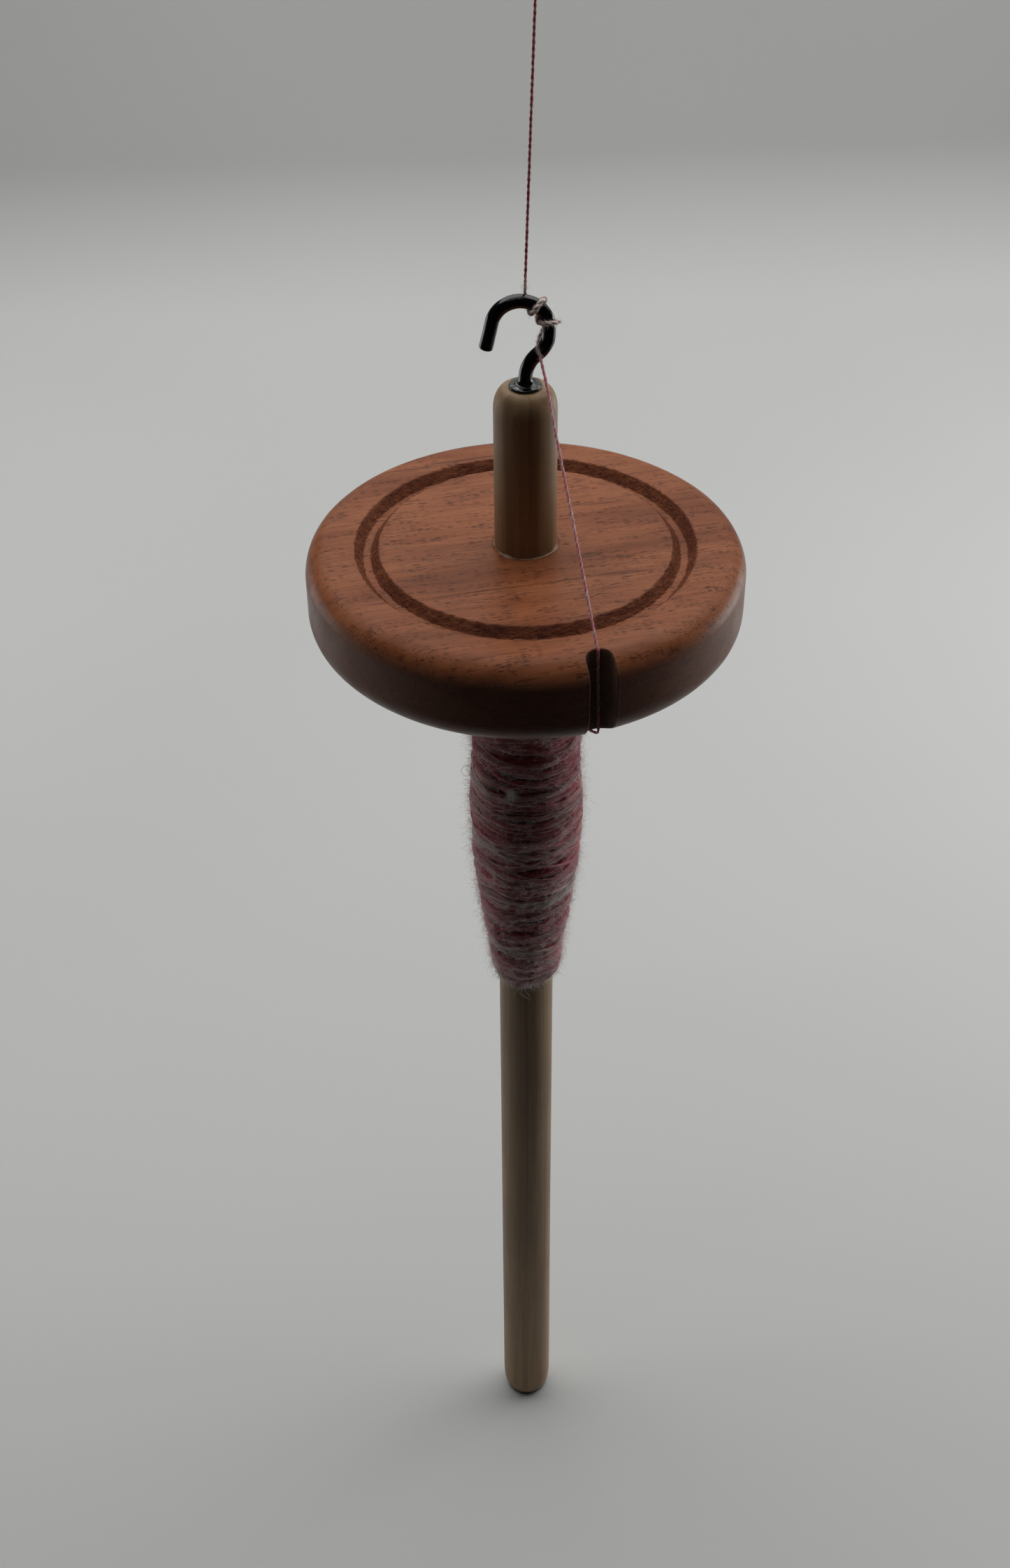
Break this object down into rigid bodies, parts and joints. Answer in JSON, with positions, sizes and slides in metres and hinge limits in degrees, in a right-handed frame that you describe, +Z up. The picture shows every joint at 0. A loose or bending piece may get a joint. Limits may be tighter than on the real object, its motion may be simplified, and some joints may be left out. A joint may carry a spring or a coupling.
{
  "type": "drop spindle",
  "caption": "Top-whorl drop spindle with a notched, grooved disc and a screw hook, hanging from its own spun yarn.",
  "frame": {"origin": "the point at the top of the tied loop where the yarn is held; the spindle hangs below it", "axes": "+Z up along the shaft; -Y is the front, with the whorl's notch turned 19 degrees from it towards +X; the hook's loop opens towards -X"},
  "size_m": [0.0904, 0.0904, 0.4091],
  "materials": {
    "shaft_wood": "satin, pale dowel",
    "whorl_wood": "oiled, dark reddish hardwood with open pores",
    "glue": "dried wood glue",
    "hook_paint": "gloss black paint",
    "yarn": "two-ply wool, rose, red and white"
  },
  "bodies": {
    "yarn_line": {"spun_yarn": "yarn", "yarn_loop": "yarn"},
    "spindle": {"shaft": "shaft_wood", "whorl": "whorl_wood", "glue_bead": "glue", "hook": "hook_paint", "hook_collar": "hook_paint", "yarn_cop": "yarn", "leader_yarn": "yarn", "hook_hitch": "yarn"}
  },
  "joints": [
    {"name": "spindle_spin", "type": "hinge", "parent": "yarn_line", "child": "spindle", "pos_m": [-0.002, 0, -0.0687], "axis": [0, 0, 1], "continuous": true}
  ]
}
